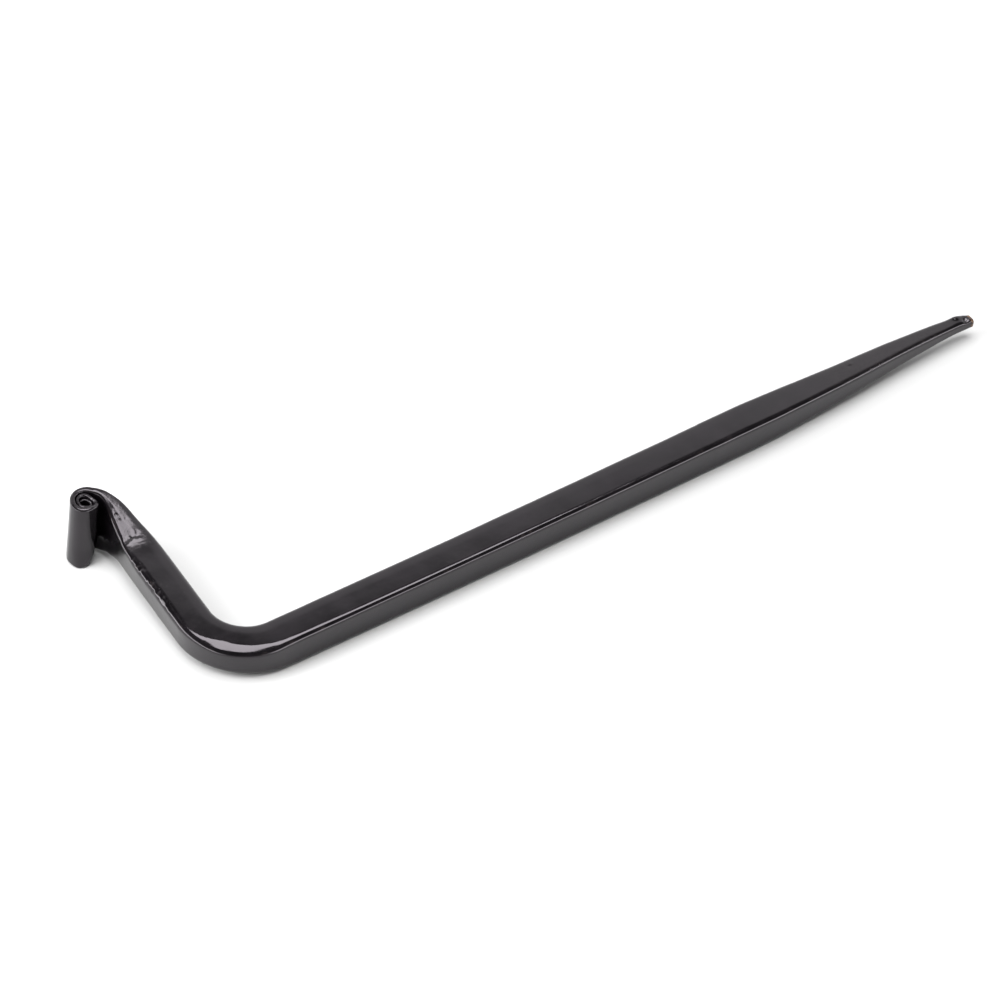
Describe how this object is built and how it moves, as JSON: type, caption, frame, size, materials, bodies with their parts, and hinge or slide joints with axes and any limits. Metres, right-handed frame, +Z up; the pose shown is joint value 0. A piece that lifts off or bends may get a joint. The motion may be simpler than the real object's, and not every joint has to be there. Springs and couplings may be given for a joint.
{
  "type": "cane bolt",
  "caption": "Forged square-bar cane bolt rod: a straight shank drawn down to a blunt point, bent square into a short handle whose flared end is rolled into a tight scroll.",
  "frame": {"origin": "centre of the footprint of the whole rod, on the surface that it lies on", "axes": "+X along the shank from the handle to the point, +Y from the shank towards the scroll end of the handle, +Z up from the surface. The rod lies on one lower edge of the shank and the scroll's lower rim, so the plane of the L is tipped about X by 4.9 degrees"},
  "size_m": [0.3248, 0.088, 0.0265],
  "materials": {
    "black_coated_iron": "semi-gloss black coating over hammered forged iron"
  },
  "bodies": {
    "root": {"forged_rod": "black_coated_iron"}
  },
  "joints": []
}
